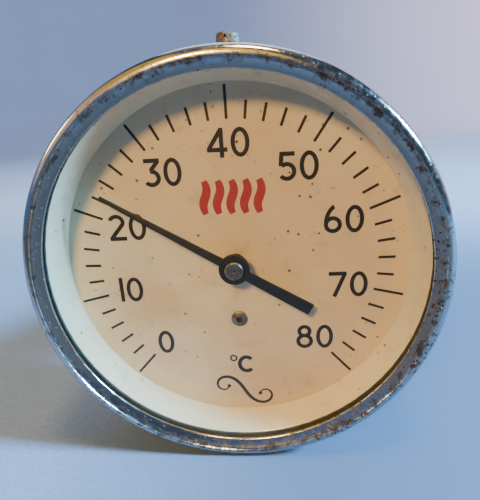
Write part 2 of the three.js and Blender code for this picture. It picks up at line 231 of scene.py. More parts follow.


# Dull film creeps along the groove inside the bead and, as painted shade, thickens a little towards the
# bottom; rust and pits gather low on one side.
def pittedChrome():
    finish = Finish("pittedChrome")
    across, _, up = finish.coordinates()
    groove = 1 - finish.step((finish.fromAxis() / mm - chromeLook["groove"]).size(), 0.2, 1.7)
    low = finish.step(across - up * 0.6, 0.025, 0.065)
    # painted shade: this term thickens the dull film towards the bottom of the bezel, darkening its
    # lower part
    bottom = finish.step(up / mm, -20, -50)
    filmAndShade = finish.step(finish.noise(2.6, 5, 0.7) + groove * 0.13 + bottom * 0.05, 0.56, 0.74)
    patches = finish.step(finish.noise(8, 3, 0.6) + low * 0.16 + groove * 0.06, 0.5, 0.68)
    holes = 1 - finish.step(finish.cells(1.1) + (1 - patches) * 0.35, 0.24, 0.34)
    specks = 1 - finish.step(finish.cells(1.7), 0.08, 0.16)
    pits = holes.peak(specks * 0.9)
    rust = finish.step(finish.noise(1.8, 4, 0.65) + low * 0.1, 0.58, 0.76) * patches
    haze = finish.noise(1.6, 3, 0.6)
    colour = finish.mixed(haze * 0.5, chromeLook["plate"], chromeLook["dull"])
    colour = finish.mixed(rust, colour, chromeLook["rust"])
    colour = finish.mixed(filmAndShade * 0.85, colour, chromeLook["filmAndShade"])
    colour = finish.mixed(pits, colour, chromeLook["pit"])
    gloss = finish.step(haze, 0.3, 0.7, 0.09, 0.2)
    relief = finish.noise(5, 1, 0.4) * 0.5 - pits * 0.3 - filmAndShade * 0.25 + rust * 0.3
    return finish.surface(
        {
            "Base Color": colour,
            "Metallic": 1 - pits * 0.7 - filmAndShade * 0.15 - rust * 0.3,
            "Roughness": gloss + pits * 0.4 + filmAndShade * 0.12 + rust * 0.2,
            "Normal": finish.bump(relief, 0.07, 0.5),
        }
    )


enamelLook = {
    "smudge": (0.30, 0.25, 0.19),
    "speck": (0.09, 0.045, 0.02),
    "speckEach": 3.2,
    "gritEach": 1.2,
}


# Yellowed in clouds, stained round the middle and specked: a higher threshold leaves fewer specks.
def agedEnamel(name, base, old, gloss, threshold):
    finish = Finish(name)
    cloud = finish.noise(26, 3, 0.55)
    colour = finish.mixed(finish.step(cloud, 0.35, 0.7), base, old)
    halo = 1 - finish.step(finish.fromAxis() / mm, 3, 15)
    smudge = finish.step(finish.noise(5.5, 4, 0.6) + halo * 0.12, 0.54, 0.8) * 0.32
    colour = finish.mixed(smudge, colour, enamelLook["smudge"])
    scatter = finish.step(finish.noise(11, 2, 0.5), 0.38, 0.56)
    dots = 1 - finish.step(finish.cells(enamelLook["speckEach"]), 0.09, 0.16)
    chosen = finish.step(finish.cells(enamelLook["speckEach"], "Color"), threshold, threshold + 0.05)
    grit = 1 - finish.step(finish.cells(enamelLook["gritEach"]), 0.1, 0.2)
    grit *= finish.step(finish.noise(6, 2, 0.5), 0.55, 0.66)
    marks = (dots * chosen * scatter).peak(grit * 0.7)
    colour = finish.mixed(marks * 0.92, colour, enamelLook["speck"])
    skin = finish.noise(1.4, 2, 0.5) * 0.5 + finish.noise(0.22, 1, 0.5) * 0.25 - marks * 0.5
    return finish.surface(
        {
            "Base Color": colour,
            "Roughness": finish.step(cloud, 0.3, 0.7, gloss, gloss + 0.12) + marks * 0.3,
            "Normal": finish.bump(skin, 0.02, 0.35),
            "Specular IOR Level": 0.45,
        }
    )


def printInk(name, ink, faded):
    finish = Finish(name)
    wear = finish.step(finish.noise(1.1, 4, 0.6), 0.5, 0.75)
    chips = finish.step(finish.noise(0.35, 2, 0.5), 0.7, 0.76)
    colour = finish.mixed(wear * 0.5 + chips * 0.4, ink, faded)
    return finish.surface(
        {
            "Base Color": colour,
            "Roughness": finish.step(wear, 0, 1, 0.45, 0.62),
            "Normal": finish.bump(finish.noise(0.3, 2, 0.5), 0.01, 0.3),
        }
    )


paintLook = {"black": (0.006, 0.006, 0.0065), "worn": (0.018, 0.018, 0.019), "dust": (0.3, 0.27, 0.22)}


def pointerPaint():
    finish = Finish("pointerPaint")
    dust = 1 - finish.step(finish.cells(1.1), 0.05, 0.11)
    dust *= finish.step(finish.noise(2.3, 2, 0.5), 0.56, 0.62)
    colour = finish.mixed(finish.noise(3, 3, 0.6), paintLook["black"], paintLook["worn"])
    colour = finish.mixed(dust * 0.6, colour, paintLook["dust"])
    gloss = finish.step(finish.noise(2, 3, 0.6), 0.3, 0.7, 0.38, 0.55)
    return finish.surface(
        {
            "Base Color": colour,
            "Roughness": gloss + dust * 0.3,
            "Normal": finish.bump(finish.noise(0.25, 2, 0.6), 0.012, 0.5),
        }
    )


turningLook = {"pitch": 0.16, "dirtAndShade": (0.02, 0.018, 0.015)}


# A dark fill may cover the middle of a piece: dirt on the dial screw's head, painted shade in the
# dimple of the pointer boss. Its two numbers say how far that middle is below the axis, and how wide
# the fill reaches.
def turnedMetal(name, bright, dark, rough, dirtAndShade=(0, 0)):
    finish = Finish(name)
    across, _, up = [axis / mm for axis in finish.coordinates()]
    below, reach = dirtAndShade
    middle = (across * across + (up + below) ** 2) ** 0.5 + finish.noise(0.7, 3, 0.6) * reach * 0.9
    dirtAndShadeFill = 1 - finish.step(middle, reach * 0.9, reach * 1.5 + 0.001)
    ringed = (finish.fromAxis() * (2 * math.pi / (turningLook["pitch"] * mm))).wave()
    tarnish = finish.step(finish.noise(2.4, 4, 0.62), 0.3, 0.7)
    spots = finish.step(finish.noise(0.6, 3, 0.6), 0.62, 0.7)
    colour = finish.mixed(tarnish * 0.8 + spots * 0.3, bright, dark)
    colour = finish.mixed(dirtAndShadeFill * 0.9, colour, turningLook["dirtAndShade"])
    matt = spots.peak(dirtAndShadeFill * 2)
    relief = ringed * 0.5 + finish.noise(0.5, 3, 0.6) * 0.5 - spots * 0.4
    return finish.surface(
        {
            "Base Color": colour,
            "Metallic": 1 - matt * 0.35,
            "Roughness": finish.step(tarnish, 0, 1, rough, rough + 0.2) + matt * 0.15,
            "Normal": finish.bump(relief, 0.01, 0.5),
        }
    )


def rustySteel():
    finish = Finish("rustySteel")
    crust = finish.step(finish.noise(0.8, 5, 0.65), 0.38, 0.62)
    deep = finish.step(finish.noise(0.35, 3, 0.6), 0.5, 0.7)
    colour = finish.mixed(crust, (0.15, 0.135, 0.12), (0.075, 0.042, 0.026))
    colour = finish.mixed(deep * 0.7, colour, (0.03, 0.018, 0.012))
    return finish.surface(
        {
            "Base Color": colour,
            "Metallic": 1 - crust * 0.8,
            "Roughness": finish.step(crust, 0, 1, 0.35, 0.8),
            "Normal": finish.bump(crust * 0.5 + deep * 0.5, 0.09, 0.7),
        }
    )


def stovedBlack():
    finish = Finish("stovedBlack")
    peel = finish.noise(0.9, 2, 0.5)
    scuff = finish.step(finish.noise(3.4, 5, 0.7, finish.stretched((1, 1, 3))), 0.6, 0.72)
    dusty = finish.noise(14, 4, 0.6)
    colour = finish.mixed(finish.step(dusty, 0.35, 0.75), (0.012, 0.012, 0.013), (0.032, 0.031, 0.03))
    colour = finish.mixed(scuff * 0.4, colour, (0.14, 0.13, 0.12))
    return finish.surface(
        {
            "Base Color": colour,
            "Roughness": finish.step(dusty, 0.3, 0.7, 0.38, 0.54) + scuff * 0.2,
            "Normal": finish.bump(peel * 0.7 - scuff * 0.3, 0.03, 0.35),
            "Specular IOR Level": 0.28,
        }
    )


def pressedFibre():
    finish = Finish("pressedFibre")
    strands = finish.noise(0.5, 4, 0.7, finish.stretched((1, 1, 4)))
    colour = finish.mixed(strands, (0.22, 0.065, 0.03), (0.09, 0.03, 0.016))
    relief = finish.bump(strands, 0.05, 0.6)
    return finish.surface({"Base Color": colour, "Roughness": 0.85, "Normal": relief})


def ringRubber():
    finish = Finish("ringRubber")
    grain = finish.noise(0.3, 3, 0.6)
    colour = finish.mixed(finish.noise(5, 3, 0.6), (0.03, 0.034, 0.031), (0.07, 0.075, 0.07))
    relief = finish.bump(grain, 0.03, 0.5)
    return finish.surface({"Base Color": colour, "Roughness": 0.8, "Normal": relief})


def clearGlass():
    finish = Finish("clearGlass")
    smear = finish.step(finish.noise(12, 4, 0.6), 0.4, 0.75, 0.02, 0.1)
    clear = finish.node("ShaderNodeBsdfTransparent", {}, {"Color": (0.965, 0.98, 0.972, 1)})
    gloss = finish.node("ShaderNodeBsdfGlossy", {}, {"Roughness": smear})
    fresnel = finish.node("ShaderNodeFresnel", {}, {"IOR": 1.45})
    return finish.done(finish.node("ShaderNodeMixShader", {}, {0: fresnel * 0.4, 1: clear, 2: gloss}))


chrome = pittedChrome()
scaleEnamel = agedEnamel("scaleEnamel", (0.80, 0.67, 0.46), (0.72, 0.57, 0.37), 0.34, 0.42)
wallEnamel = agedEnamel("wallEnamel", (0.84, 0.77, 0.58), (0.80, 0.71, 0.50), 0.16, 0.48)
blackInk = printInk("blackInk", (0.012, 0.011, 0.011), (0.05, 0.045, 0.04))
redInk = printInk("redInk", (0.38, 0.032, 0.04), (0.5, 0.09, 0.07))
pointerBlack = pointerPaint()
# painted shade: the dark middle of turnedNickel fills the dimple on the pointer boss
nickel = turnedMetal("turnedNickel", (0.25, 0.235, 0.205), (0.12, 0.11, 0.09), 0.3, dirtAndShade=(0, 0.5))
brightSteel = turnedMetal("brightSteel", (0.46, 0.45, 0.43), (0.28, 0.26, 0.23), 0.25)
brass = turnedMetal("dullBrass", (0.62, 0.45, 0.19), (0.30, 0.19, 0.08), 0.28)
bimetal = turnedMetal("rolledBimetal", (0.48, 0.44, 0.38), (0.3, 0.26, 0.2), 0.3)
rust = rustySteel()
enamelBlack = stovedBlack()
fibre = pressedFibre()
rubber = ringRubber()
glassClear = clearGlass()
print("finishes mixed")


def dropSelection():
    if bpy.context.object and bpy.context.object.mode != "OBJECT":
        bpy.ops.object.mode_set(mode="OBJECT")
    bpy.ops.object.select_all(action="DESELECT")


def pick(piece):
    dropSelection()
    piece.select_set(True)
    bpy.context.view_layer.objects.active = piece


def editAll(piece):
    pick(piece)
    bpy.ops.object.mode_set(mode="EDIT")
    bpy.ops.mesh.select_all(action="SELECT")


# A chain of edges from one vertex, pulled from point to point.
def startChain(points):
    dropSelection()
    bpy.ops.mesh.primitive_plane_add(size=mm, location=(0, 0, 0))
    bpy.ops.object.mode_set(mode="EDIT")
    bpy.ops.mesh.select_all(action="SELECT")
    bpy.ops.mesh.merge(type="CENTER")
    here = Vector(points[0]) * mm
    bpy.ops.transform.translate(value=here)
    for point in points[1:]:
        there = Vector(point) * mm
        bpy.ops.mesh.extrude_region_move(TRANSFORM_OT_translate={"value": there - here})
        here = there
    return bpy.context.object


def arcPoints(centre, radius, start, end, steps):
    angles = [math.radians(start + (end - start) * i / steps) for i in range(steps + 1)]
    return [(centre[0] + radius * math.cos(a), centre[1] + radius * math.sin(a)) for a in angles]


# Spins a closed outline of (radius, height) points about the instrument's axis.
def turnPiece(name, outline, steps=128):
    loop = [(radius, 0, height) for radius, height in outline]
    piece = startChain(loop + loop[:1])
    piece.name = name
    bpy.ops.mesh.select_all(action="SELECT")
    bpy.ops.mesh.spin(steps=steps, angle=2 * math.pi, center=(0, 0, 0), axis=(0, 0, 1))
    bpy.ops.mesh.select_all(action="SELECT")
    bpy.ops.mesh.remove_doubles(threshold=0.002 * mm)
    bpy.ops.mesh.normals_make_consistent(inside=False)
    bpy.ops.object.mode_set(mode="OBJECT")
    smooth(piece)
    return piece


def smooth(piece, angle=28):
    pick(piece)
    bpy.ops.object.shade_smooth_by_angle(angle=math.radians(angle))


def applyModifier(piece, kind, **settings):
    pick(piece)
    bpy.ops.object.modifier_add(type=kind)
    modifier = piece.modifiers[-1]
    for key, value in settings.items():
        setattr(modifier, key, value)
    bpy.ops.object.modifier_apply(modifier=modifier.name)


def easeEdges(piece, width, segments=3, angle=32):
    ease = {"width": width * mm, "segments": segments, "use_clamp_overlap": True}
    limit = {"limit_method": "ANGLE", "angle_limit": math.radians(angle)}
    applyModifier(piece, "BEVEL", **ease, **limit)
    smooth(piece)


def combine(piece, tool, operation):
    applyModifier(piece, "BOOLEAN", operation=operation, solver="EXACT", object=tool)
    bpy.data.objects.remove(tool)


# Bores a hole along the axis, longer than any plate is thick.
def drill(piece, radius, place, vertices):
    dropSelection()
    size = {"vertices": vertices, "radius": radius * mm, "depth": 8 * mm}
    bpy.ops.mesh.primitive_cylinder_add(location=Vector(place) * mm, **size)
    combine(piece, bpy.context.object, "DIFFERENCE")


def joined(pieces, name):
    pick(pieces[0])
    for piece in pieces[1:]:
        piece.select_set(True)
    if len(pieces) > 1:
        bpy.ops.object.join()
    pieces[0].name = name
    return pieces[0]


def moved(piece, place=(0, 0, 0), turn=(0, 0, 0)):
    pick(piece)
    piece.location = Vector(place) * mm
    piece.rotation_euler = [math.radians(a) for a in turn]
    bpy.ops.object.transform_apply(location=True, rotation=True, scale=True)
    return piece


def copied(piece):
    pick(piece)
    bpy.ops.object.duplicate(linked=False)
    return bpy.context.object


# Stands a piece that was modelled with the axis upright the way the instrument faces.
def standUp(piece, material, body, stands=()):
    pick(piece)
    piece.rotation_euler = (math.radians(90), 0, 0)
    bpy.ops.object.transform_apply(location=True, rotation=True, scale=True)
    piece.data.materials.clear()
    piece.data.materials.append(material)
    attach(piece, body)
    if stands:
        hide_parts(*stands)
    return piece


bezelSizes = {
    "opening": 51,
    "outside": 56.5,
    "wall": 0.8,
    "lipRound": 0.4,
    "lipDrop": 1.4,  # lip below the top of the bead
    "bead": 2.6,
    "standOff": 0.3,
    "groove": 0.16,
    "hem": 0.45,
    "tuck": 1.7,  # inner bend behind the bead
    "steps": 288,
}


def makeBezel():
    s = bezelSizes
    top, back = frontOf("bezel_ring"), rearOf("bezel_ring")
    beadX, beadZ = s["outside"] - s["bead"], top - s["bead"]
    lip = top - s["lipDrop"]
    skirt = s["outside"] - s["standOff"]
    inner = skirt - s["wall"]
    outline = arcPoints((s["opening"] + s["lipRound"], lip - s["lipRound"]), s["lipRound"], 180, 100, 6)
    outline += [(beadX - 0.75, top - 0.3), (beadX - 0.25, top - 0.12 - s["groove"])]
    outline += arcPoints((beadX, beadZ), s["bead"], 92, 2, 26)
    outline += arcPoints((beadX + 0.1, beadZ), s["bead"] - 0.1, -8, -40, 6)
    outline += [(skirt, beadZ - 2.3), (skirt, back + 1.4)]
    outline += arcPoints((skirt - 0.15, back + s["hem"]), s["hem"], 30, -180, 12)
    outline += [(inner, back + 1.2), (inner, beadZ)]
    outline += arcPoints((inner - s["tuck"], beadZ), s["tuck"], 20, 80, 5)
    outline += [(s["opening"] + 1.2, lip - s["wall"]), (s["opening"] + 0.15, lip - s["wall"])]
    bezel = turnPiece("bezel", outline, s["steps"])
    standUp(bezel, chrome, root, ["bezel_ring"])


makeBezel()
print("bezel made")


caseSizes = {
    "outside": 55.2,
    "wall": 0.9,
    "corner": 5,
    "mouth": 9.2,
    "panelEdge": 40,
    "panelStep": 0.5,
}


def makeCase():
    s = caseSizes
    back, front = rearOf("case_shell"), frontOf("case_shell")
    middle = (s["outside"] - s["corner"], back + s["corner"])
    inside = s["outside"] - s["wall"]
    step = s["panelStep"]
    edge = s["panelEdge"]
    outline = [(s["mouth"], back + step), (edge - 1.2, back + step), (edge, back)]
    outline += arcPoints(middle, s["corner"], -90, 0, 16)
    outline += [(s["outside"], front), (inside, front)]
    outline += arcPoints(middle, s["corner"] - s["wall"], 0, -90, 10)
    outline += [(edge - 0.4, back + s["wall"]), (edge - 1.6, back + step + s["wall"])]
    outline += [(s["mouth"], back + step + s["wall"])]
    case = turnPiece("case", outline, 224)
    easeEdges(case, 0.2, 2)
    standUp(case, enamelBlack, root, ["case_shell"])


wallSizes = {"foot": 49, "top": 51.6, "wall": 0.6, "shelf": 55.1, "lift": 0.04}


def makeChapterRing():
    s = wallSizes
    foot, shelf = dialFace + s["lift"], frontOf("chapter_ring")
    under = shelf - s["wall"]
    outline = [(s["foot"], foot), (s["foot"] + s["wall"], foot), (s["top"] + s["wall"], under)]
    outline += [(s["shelf"], under), (s["shelf"], shelf), (s["top"] + 0.25, shelf)]
    outline += [(s["top"], shelf - 0.2)]
    ring = turnPiece("chapterRing", outline, 256)
    standUp(ring, wallEnamel, root, ["chapter_ring"])


makeCase()
makeChapterRing()
print("case made")

glassSizes = {"ease": 0.3}


def makeGlass():
    back, front = rearOf("window_glass"), frontOf("window_glass")
    radius, ease = radiusOf("window_glass"), glassSizes["ease"]
    outline = [(0, back), (radius - ease, back), (radius, back + ease)]
    outline += [(radius, front - ease), (radius - ease, front), (0, front)]
    glass = turnPiece("windowGlass", outline, 192)
    standUp(glass, glassClear, root, ["window_glass"])


makeGlass()
print("glass made")


# Readings are in degrees Celsius, and each turns the scale by degreesEach.
scaleSizes = {
    "hole": 3,
    "screwHole": 1.35,
    "screwDrop": 17.4,
    "ink": 0.04,
    "low": 0,
    "high": 80,
    "minor": 2,
    "major": 10,
    "topReading": 40,
    "degreesEach": 3.43,
    "inner": 39.8,
    "minorOuter": 44.5,
    "majorOuter": 48.3,
    "tickWidth": 0.75,
    "numberRadius": 32.5,
    "numberNudge": {0: 1.5, 40: 1.3},
    "stroke": 1.15,
    "gap": 0.9,
}


def scaleAngle(reading):
    return 90 - (reading - scaleSizes["topReading"]) * scaleSizes["degreesEach"]


def makeDial():
    s = scaleSizes
    back, front = rearOf("dial_plate"), dialFace
    radius = radiusOf("dial_plate")
    outline = [(s["hole"], back), (radius, back), (radius, front), (s["hole"], front)]
    dial = turnPiece("scalePlate", outline, 192)
    drill(dial, s["screwHole"], (0, -s["screwDrop"], (back + front) / 2), 48)
    smooth(dial)
    standUp(dial, scaleEnamel, root, ["dial_plate"])


# A flat outline becomes ink of even thickness on the plate's face.
def inked(piece):
    editAll(piece)
    bpy.ops.mesh.normals_make_consistent(inside=False)
    bpy.ops.object.mode_set(mode="OBJECT")
    if piece.data.polygons[0].normal.z < 0:
        editAll(piece)
        bpy.ops.mesh.flip_normals()
        bpy.ops.object.mode_set(mode="OBJECT")
    applyModifier(piece, "SOLIDIFY", thickness=scaleSizes["ink"] * mm, offset=1)
    return piece


def bar(start, end, width):
    reach = Vector(end) - Vector(start)
    middle = (Vector(start) + Vector(end)) / 2 * mm
    dropSelection()
    bpy.ops.mesh.primitive_plane_add(size=mm, location=(middle.x, middle.y, 0))
    piece = bpy.context.object
    piece.scale = (reach.length, width, 1)
    piece.rotation_euler = (0, 0, math.atan2(reach.y, reach.x))
    bpy.ops.object.transform_apply(location=True, rotation=True, scale=True)
    return inked(piece)


# Part of an oval ring, from one angle to another, anticlockwise.
def bow(centre, across, up, width, start=0, end=360, sides=72):
    dropSelection()
    bpy.ops.mesh.primitive_circle_add(vertices=sides, radius=mm, location=(0, 0, 0))
    piece = bpy.context.object
    bpy.ops.object.mode_set(mode="EDIT")
    bpy.ops.mesh.select_all(action="SELECT")
    bpy.ops.transform.resize(value=(across, up, 1))
    bpy.ops.mesh.extrude_region_move()
    bpy.ops.transform.resize(value=((across - width) / across, (up - width) / up, 1))
    if end - start < 360:
        mesh = bmesh.from_edit_mesh(piece.data)
        for vertex in mesh.verts:
            angle = math.degrees(math.atan2(vertex.co.y / up, vertex.co.x / across))
            vertex.select = (angle - start) % 360 > end - start + 0.5
        mesh.select_flush(False)
        bpy.ops.mesh.delete(type="VERT")
    bpy.ops.mesh.select_all(action="SELECT")
    bpy.ops.transform.translate(value=(centre[0] * mm, centre[1] * mm, 0))
    bpy.ops.object.mode_set(mode="OBJECT")
    return inked(piece)


numberHeight = 7.7
numberTop = numberHeight / 2
numberBar = numberTop - scaleSizes["stroke"] / 2  # middle of a stroke along the top


# Bars and bows of one digit, in mm about its middle.
def drawDigit(digit):
    w = scaleSizes["stroke"]
    if digit == "0":
        return [bow((0, 0), 2.5, numberTop, w)]
    if digit == "1":
        return [bar((0, -numberTop), (0, numberTop), w)]
    if digit == "2":
        top = bow((-0.1, 1.6), 2.45, 2.25, w, -40, 165)
        foot = bar((-2.5, -numberBar), (2.45, -numberBar), w)
        return [top, bar((1.45, 0.75), (-1.95, -3.1), w), foot]
    if digit == "3":
        top = bar((-2.1, numberBar), (2.3, numberBar), w)
        slope = bar((1.9, 3.1), (-0.35, 0.62), w)
        return [top, slope, bow((-0.2, -1.45), 2.5, 2.4, w, -150, 100)]
    if digit == "4":
        slope = bar((1.15, 3.45), (-2.3, -1.6), w)
        shelf = bar((-2.75, -1.75), (2.75, -1.75), w)
        return [slope, shelf, bar((1.2, -numberTop), (1.2, numberTop), w)]
    if digit == "5":
        top = bar((-1.6, numberBar), (2.0, numberBar), w)
        side = bar((-1.4, numberTop), (-1.75, 0.1), w)
        return [top, side, bow((-0.15, -1.35), 2.5, 2.5, w, -150, 135)]
    if digit == "6":
        return [bow((0, -1.45), 2.45, 2.4, w), bow((2.6, -1.2), 5.05, 6.2, w, 115, 180)]
    if digit == "7":
        top = bar((-2.5, numberBar), (2.5, numberBar), w)
        return [top, bar((2.0, 3.2), (-0.95, -numberTop + 0.05), w)]
    return [bow((0, 1.8), 2.1, 2.05, w), bow((0, -1.45), 2.5, 2.4, w)]


def makeDigit(digit):
    strokes = drawDigit(digit)
    for other in strokes[1:]:
        combine(strokes[0], other, "UNION")
    return strokes[0]


def widthOf(piece):
    across = [vertex.co.x for vertex in piece.data.vertices]
    return (max(across) - min(across)) / mm


def makeNumbers():
    s = scaleSizes
    master = {digit: makeDigit(digit) for digit in "012345678"}
    placed = []
    for reading in range(s["low"], s["high"] + 1, s["major"]):
        digits = [copied(master[digit]) for digit in str(reading)]
        widths = [widthOf(digit) for digit in digits]
        full = sum(widths) + s["gap"] * (len(digits) - 1)
        reach = s["numberRadius"] + s["numberNudge"].get(reading, 0)
        angle = math.radians(scaleAngle(reading))
        left = reach * math.cos(angle) - full / 2
        for digit, width in zip(digits, widths):
            moved(digit, (left + width / 2, reach * math.sin(angle), dialFace))
            left += width + s["gap"]
            placed.append(digit)
    for digit in master.values():
        bpy.data.objects.remove(digit)
    standUp(joined(placed, "scaleNumbers"), blackInk, root, ())


def makeTicks():
    s = scaleSizes
    ticks = []
    for reading in range(s["low"], s["high"] + 1, s["minor"]):
        outer = s["minorOuter"] if reading % s["major"] else s["majorOuter"]
        tick = bar((s["inner"], 0), (outer, 0), s["tickWidth"])
        ticks.append(moved(tick, (0, 0, dialFace), (0, 0, scaleAngle(reading))))
    standUp(joined(ticks, "scaleMarks"), blackInk, root, ())


unitSizes = {
    "letter": (1.3, -33),
    "across": 2.75,
    "up": 3.0,
    "stroke": 1.2,
    "mouth": 42,  # half of the letter's opening, in degrees
    "sign": (-2.6, -30.9),
    "signRadius": 1.15,
    "signWidth": 0.5,
}


def makeUnit():
    s = unitSizes
    letter = bow(s["letter"], s["across"], s["up"], s["stroke"], s["mouth"], 360 - s["mouth"])
    sign = bow(s["sign"], s["signRadius"], s["signRadius"], s["signWidth"], sides=40)
    unit = joined([letter, sign], "unitSign")
    standUp(moved(unit, (0, 0, dialFace)), blackInk, root, ())


# A flat ribbon along a path; path and width are both given a share of the way, from -0.5 to 0.5.
def ribbon(path, width, steps):
    dropSelection()
    bpy.ops.mesh.primitive_grid_add(x_subdivisions=1, y_subdivisions=steps, size=mm)
    piece = bpy.context.object
    bpy.ops.object.mode_set(mode="EDIT")
    mesh = bmesh.from_edit_mesh(piece.data)
    for vertex in mesh.verts:
        share = vertex.co.y / mm
        side = vertex.co.x / mm
        ahead, behind = [Vector(path(share + step)) for step in (0.004, -0.004)]
        along = (ahead - behind).normalized()
        spot = Vector(path(share)) + Vector((along.y, -along.x)) * side * width(share)
        vertex.co = (spot.x * mm, spot.y * mm, 0)
    bpy.ops.object.mode_set(mode="OBJECT")
    return inked(piece)


heatSizes = {
    "count": 5,
    "pitch": 3.75,
    "middle": (0.2, 19.35),
    "length": 9.2,
    "width": 2.5,
    "swing": 0.6,
    "taper": 0.35,
}


def makeHeatWaves():
    s = heatSizes
    waves = []
    for i in range(s["count"]):
        across = s["middle"][0] + (i - (s["count"] - 1) / 2) * s["pitch"]
        flame = ribbon(
            lambda share: (s["swing"] * math.sin(share * 2 * math.pi), share * s["length"]),
            lambda share: s["width"] * (1 - (2 * share) ** 2 * s["taper"]),
            48,
        )
        waves.append(moved(flame, (across, s["middle"][1], dialFace)))
    standUp(joined(waves, "heatWaves"), redInk, root, ())


ornamentSizes = {
    "middle": (0.2, -42.2),
    "length": 35,
    "curl": 5.6,
    "lean": -1.05,
    "width": 1.1,
    "thin": 0.36,
    "dot": 0.6,
    "steps": 160,
}


# A scroll that bends harder towards both ends, until each end curls in on itself.
def makeOrnament():
    s = ornamentSizes
    steps = s["steps"]
    trail = [Vector((0, 0))]
    for i in range(steps):
        heading = s["lean"] + s["curl"] * (2 * (i + 0.5) / steps) ** 2 / 4
        way = Vector((math.cos(heading), math.sin(heading)))
        trail.append(trail[-1] + way * s["length"] / steps / 2)

    def path(share):
        place = min(abs(share) * 2 * steps, steps)
        low = min(int(place), steps - 1)
        spot = trail[low].lerp(trail[low + 1], place - low)
        return spot if share > 0 else -spot

    def width(share):
        return s["thin"] + (s["width"] - s["thin"]) * math.cos(share * math.pi)

    scroll = ribbon(path, width, steps)
    dots = [bow(path(end), s["dot"], s["dot"], s["dot"] * 0.98, sides=24) for end in (-0.5, 0.5)]
    ornament = joined([scroll] + dots, "scaleOrnament")
    standUp(moved(ornament, (*s["middle"], dialFace)), blackInk, root, ())


makeDial()
makeTicks()
makeNumbers()
makeUnit()
makeHeatWaves()
makeOrnament()
print("scale printed")


def slottedHead(outline, slotWidth, slotDepth, top, radius, name, steps=64):
    screw = turnPiece(name, outline, steps)
    dropSelection()
    bpy.ops.mesh.primitive_cube_add(size=mm, location=(0, 0, top * mm))
    cutter = bpy.context.object
    cutter.scale = (radius * 3, slotWidth, slotDepth * 2)
    bpy.ops.object.transform_apply(location=True, rotation=True, scale=True)
    combine(screw, cutter, "DIFFERENCE")
    easeEdges(screw, 0.07, 2, 40)
    return screw


dialScrewSizes = {
    "head": 2.4,
    "height": 0.9,
    "crown": 5.6,
    "shank": 1.2,
    "length": 3.4,
    "slot": 0.6,
    "depth": 0.45,
    "turn": -40,
    "dirtAndShade": 1.3,
}


def makeDialScrew():
    s = dialScrewSizes
    crown = arcPoints((0, s["height"] - s["crown"]), s["crown"], 67, 90, 7)
    outline = [(0, -s["length"]), (s["shank"], -s["length"]), (s["shank"], 0)]
    outline += [(s["head"], 0), (s["head"], 0.3)]
    outline += [point for point in crown if point[0] < s["head"] - 0.1]
    screw = slottedHead(outline, s["slot"], s["depth"], s["height"], s["head"], "dialScrew")
    moved(screw, turn=(0, 0, s["turn"]))
    moved(screw, (0, -scaleSizes["screwDrop"], frontOf("dial_screw") - s["height"]))
    dirtAndShade = (scaleSizes["screwDrop"], s["dirtAndShade"])
    steel = turnedMetal("dialScrewSteel", (0.27, 0.26, 0.25), (0.12, 0.11, 0.10), 0.5, dirtAndShade)
    standUp(screw, steel, root, ["dial_screw"])


bezelScrewSizes = {
    "head": 2.9,
    "height": 3.1,
    "round": 0.9,
    "shank": 1.75,
    "length": 3.7,
    "slot": 0.9,
    "depth": 1.4,
    "slotTurn": 82,
    "seat": 56.3,  # under the head, from the instrument's axis
    "around": -2.2,  # from twelve o'clock, in degrees
}


def makeBezelScrew():
    s = bezelScrewSizes
    low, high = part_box("bezel_screw")
    middle = -(low[1] + high[1]) / 2 / mm
    outline = [(0, -s["length"]), (s["shank"], -s["length"]), (s["shank"], 0)]
    outline += [(s["head"] - 0.15, 0), (s["head"], 0.15)]
    outline += arcPoints((s["head"] - s["round"], s["height"] - s["round"]), s["round"], 0, 90, 8)
    outline += [(0, s["height"])]
    screw = slottedHead(outline, s["slot"], s["depth"], s["height"], s["head"], "bezelScrew")
    moved(screw, turn=(0, 0, s["slotTurn"]))
    moved(screw, turn=(-90, 0, 0))
    moved(screw, (0, s["seat"], middle))
    moved(screw, turn=(0, 0, s["around"]))
    standUp(screw, rust, root, ["bezel_screw"])


makeDialScrew()
makeBezelScrew()
print("screws made")


pointerSizes = {
    "angle": 58.6,
    "length": 41.3,
    "tip": 1,
    "root": 2.4,
    "tail": 24.4,
    "tailRoot": 2.7,
    "tailEnd": 3.4,
    "thickness": 0.6,
    "disc": 4.3,
    "discHeight": 1.1,
    "hole": 2,
}


def makePointer():
    s = pointerSizes
    base = rearOf("pointer_blade")
    inside = s["disc"] * 0.6
    half = [(s["tip"] / 2, s["length"]), (s["root"] / 2, inside)]
    half += [(s["tailRoot"] / 2, -inside), (s["tailEnd"] / 2, -s["tail"])]
    outline = half + [(-across, along) for across, along in reversed(half)]
    blade = startChain([(x, y, base) for x, y in outline])
    bpy.ops.mesh.select_all(action="SELECT")
    bpy.ops.mesh.edge_face_add()
    bpy.ops.mesh.extrude_region_move(TRANSFORM_OT_translate={"value": (0, 0, s["thickness"] * mm)})
    bpy.ops.mesh.select_all(action="SELECT")
    bpy.ops.mesh.normals_make_consistent(inside=False)
    bpy.ops.object.mode_set(mode="OBJECT")
    top = base + s["discHeight"]
    disc = turnPiece("disc", [(0, base), (s["disc"], base), (s["disc"], top), (0, top)], 96)
    combine(blade, disc, "UNION")
    drill(blade, s["hole"], (0, 0, base), 64)
    blade.name = "pointer"
    easeEdges(blade, 0.14, 3, 40)
    moved(blade, turn=(0, 0, s["angle"]))
    standUp(blade, pointerBlack, needle, ["pointer_blade"])


bossSizes = {
    "radius": 2.6,
    "rise": 1.2,
    "chamfer": 0.35,
    "barrel": 1.9,
    "bore": 1.1,
    "dimple": 0.45,
    "cover": 0.55,
}


